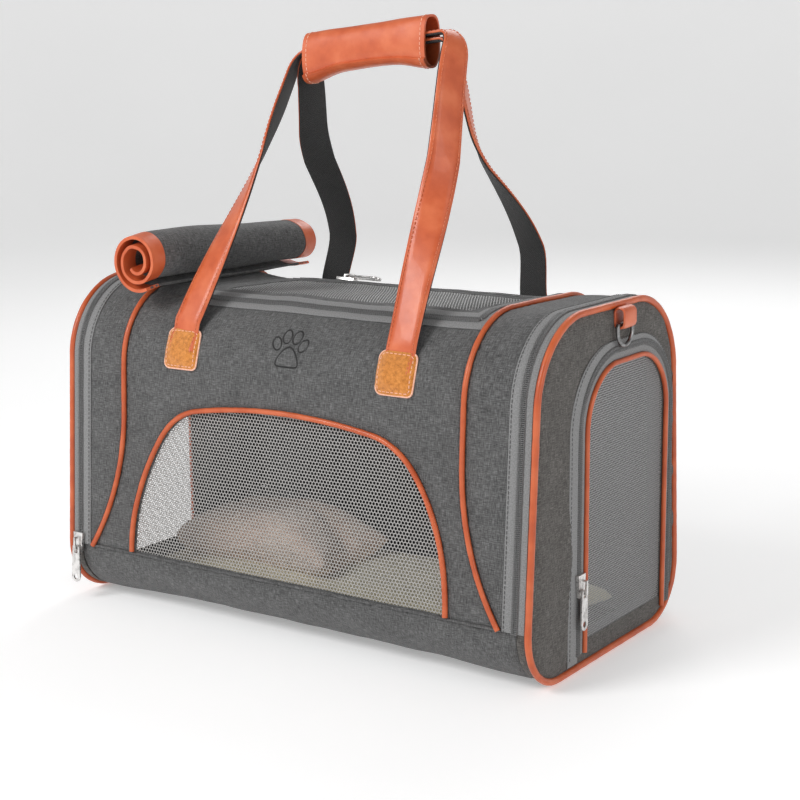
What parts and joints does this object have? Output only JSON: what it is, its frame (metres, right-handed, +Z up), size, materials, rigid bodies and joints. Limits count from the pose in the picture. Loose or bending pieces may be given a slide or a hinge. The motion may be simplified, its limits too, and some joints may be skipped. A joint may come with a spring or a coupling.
{
  "type": "pet transport carrier",
  "caption": "Soft-sided pet carrier with fold-down zipped ends, arched mesh doors, mesh window and top, rolled cover and a strap handle with a wrapped grip.",
  "frame": {"origin": "on the floor, under the middle of the carrier", "axes": "+X along the length towards the end whose door shows, +Y towards the rear, +Z up; the window faces -Y"},
  "size_m": [0.482, 0.2622, 0.493],
  "materials": {
    "heather_fabric": "woven heather oxford",
    "end_fabric": "woven heather oxford",
    "zip_tape": "ribbed zip tape",
    "orange_leather": "semi-gloss synthetic leather",
    "tan_suede": "napped suede",
    "dark_webbing": "woven webbing",
    "net": "open net",
    "pad_fleece": "fleece",
    "blanket_fleece": "fleece",
    "insert_board": "plain board",
    "spring_wire": "drawn wire",
    "nickel": "polished nickel plate",
    "gunmetal": "dark plated"
  },
  "bodies": {
    "root": {"base_tub": "heather_fabric", "base_board": "insert_board", "floor_pad": "pad_fleece", "fleece_blanket": "blanket_fleece", "front_panel": "heather_fabric", "rear_panel": "heather_fabric", "left_gusset_panel": "heather_fabric", "right_gusset_panel": "heather_fabric", "top_left_strip": "heather_fabric", "top_right_strip": "heather_fabric", "top_zip_tape": "zip_tape", "front_window_mesh": "net", "front_window_piping": "orange_leather", "seam_pipings": "orange_leather", "front_strap_patches": "tan_suede", "rear_strap_patches": "tan_suede", "cover_roll": "heather_fabric", "cover_binding": "orange_leather", "hoop_wires": "spring_wire", "body_zip_tapes": "zip_tape", "left_folded_gusset": "net", "right_folded_gusset": "net"},
    "right_end": {"right_end_panel": "end_fabric", "right_edge_piping": "orange_leather", "right_end_zip_tape": "zip_tape", "right_door_frame_tape": "zip_tape", "right_ring_loop": "orange_leather"},
    "right_door": {"right_door_border": "end_fabric", "right_door_mesh": "net", "right_door_piping": "orange_leather", "right_door_zip_tape": "zip_tape"},
    "right_tie_ring": {"right_ring": "gunmetal"},
    "right_end_zip_slider": {"right_end_slider": "nickel"},
    "right_end_zip_pull": {"right_end_pull": "nickel"},
    "right_door_zip_slider": {"right_door_slider": "nickel"},
    "right_door_zip_pull": {"right_door_pull": "nickel"},
    "left_end": {"left_end_panel": "end_fabric", "left_edge_piping": "orange_leather", "left_end_zip_tape": "zip_tape", "left_door_frame_tape": "zip_tape", "left_ring_loop": "orange_leather"},
    "left_door": {"left_door_border": "end_fabric", "left_door_mesh": "net", "left_door_piping": "orange_leather", "left_door_zip_tape": "zip_tape"},
    "left_tie_ring": {"left_ring": "gunmetal"},
    "left_end_zip_slider": {"left_end_slider": "nickel"},
    "left_end_zip_pull": {"left_end_pull": "nickel"},
    "left_door_zip_slider": {"left_door_slider": "nickel"},
    "left_door_zip_pull": {"left_door_pull": "nickel"},
    "top_door": {"top_door_border": "heather_fabric", "top_door_mesh": "net", "top_door_zip_tape": "zip_tape"},
    "top_zip_slider": {"top_slider": "nickel"},
    "top_zip_pull": {"top_pull": "nickel"},
    "front_strap": {"front_strap_leather": "orange_leather", "front_strap_webbing": "dark_webbing"},
    "rear_strap": {"rear_strap_leather": "orange_leather", "rear_strap_webbing": "dark_webbing", "grip_wrap": "orange_leather"}
  },
  "joints": [
    {"name": "right_end_fold", "type": "hinge", "parent": "root", "child": "right_end", "pos_m": [0.233, 0, 0], "axis": [0, 1, 0], "range_deg": [0, 85], "deforming": ["right_folded_gusset"]},
    {"name": "right_door_hinge", "type": "hinge", "parent": "right_end", "child": "right_door", "pos_m": [0.231, 0.027, 0.01], "axis": [0, 1, 0], "range_deg": [0, 90]},
    {"name": "right_ring_swing", "type": "hinge", "parent": "right_end", "child": "right_tie_ring", "pos_m": [0.236, 0.012, 0.2626], "axis": [0, -1, 0], "range_deg": [0, 100]},
    {"name": "right_end_slider_run", "type": "slide", "parent": "root", "child": "right_end_zip_slider", "axis": [0, -0.0638, 0.998], "range_m": [0, 0.15]},
    {"name": "right_end_pull_swing", "type": "hinge", "parent": "right_end_zip_slider", "child": "right_end_zip_pull", "pos_m": [0.2195, 0.12823, 0.04753], "axis": [1, 0, 0], "range_deg": [0, 110]},
    {"name": "right_door_slider_run", "type": "slide", "parent": "right_door", "child": "right_door_zip_slider", "axis": [0, 0, 1], "range_m": [0, 0.1]},
    {"name": "right_door_pull_swing", "type": "hinge", "parent": "right_door_zip_slider", "child": "right_door_zip_pull", "pos_m": [0.2373, -0.05, 0.0662], "axis": [0, -1, 0], "range_deg": [0, 110]},
    {"name": "left_end_fold", "type": "hinge", "parent": "root", "child": "left_end", "pos_m": [-0.233, 0, 0], "axis": [0, -1, 0], "range_deg": [0, 85], "deforming": ["left_folded_gusset"]},
    {"name": "left_door_hinge", "type": "hinge", "parent": "left_end", "child": "left_door", "pos_m": [-0.231, -0.027, 0.01], "axis": [0, -1, 0], "range_deg": [0, 90]},
    {"name": "left_ring_swing", "type": "hinge", "parent": "left_end", "child": "left_tie_ring", "pos_m": [-0.236, -0.012, 0.2626], "axis": [0, 1, 0], "range_deg": [0, 100]},
    {"name": "left_end_slider_run", "type": "slide", "parent": "root", "child": "left_end_zip_slider", "axis": [0, 0.0638, 0.998], "range_m": [0, 0.15]},
    {"name": "left_end_pull_swing", "type": "hinge", "parent": "left_end_zip_slider", "child": "left_end_zip_pull", "pos_m": [-0.2195, -0.12823, 0.04753], "axis": [-1, 0, 0], "range_deg": [0, 110]},
    {"name": "left_door_slider_run", "type": "slide", "parent": "left_door", "child": "left_door_zip_slider", "axis": [0, 0, 1], "range_m": [0, 0.1]},
    {"name": "left_door_pull_swing", "type": "hinge", "parent": "left_door_zip_slider", "child": "left_door_zip_pull", "pos_m": [-0.2373, 0.05, 0.0662], "axis": [0, 1, 0], "range_deg": [0, 110]},
    {"name": "top_door_hinge", "type": "hinge", "parent": "root", "child": "top_door", "pos_m": [-0.123, 0, 0.278], "axis": [0, -1, 0], "range_deg": [0, 95]},
    {"name": "top_slider_run", "type": "slide", "parent": "top_door", "child": "top_zip_slider", "axis": [1, 0, 0], "range_m": [-0.03, 0.2]},
    {"name": "top_pull_swing", "type": "hinge", "parent": "top_zip_slider", "child": "top_zip_pull", "pos_m": [-0.0662, 0.07653, 0.27588], "axis": [0, -0.8988, 0.4384], "range_deg": [0, 110]},
    {"name": "front_strap_fold", "type": "hinge", "parent": "root", "child": "front_strap", "pos_m": [0, -0.1031, 0.24959], "axis": [1, 0, 0], "range_deg": [0, 153]},
    {"name": "rear_strap_fold", "type": "hinge", "parent": "root", "child": "rear_strap", "pos_m": [0, 0.1031, 0.24959], "axis": [-1, 0, 0], "range_deg": [0, 153], "deforming": ["grip_wrap"]}
  ],
  "couplings": [
    {"joint": "front_strap_fold", "follows": "top_door_hinge", "ratio": 1.6},
    {"joint": "rear_strap_fold", "follows": "top_door_hinge", "ratio": 1.6}
  ]
}
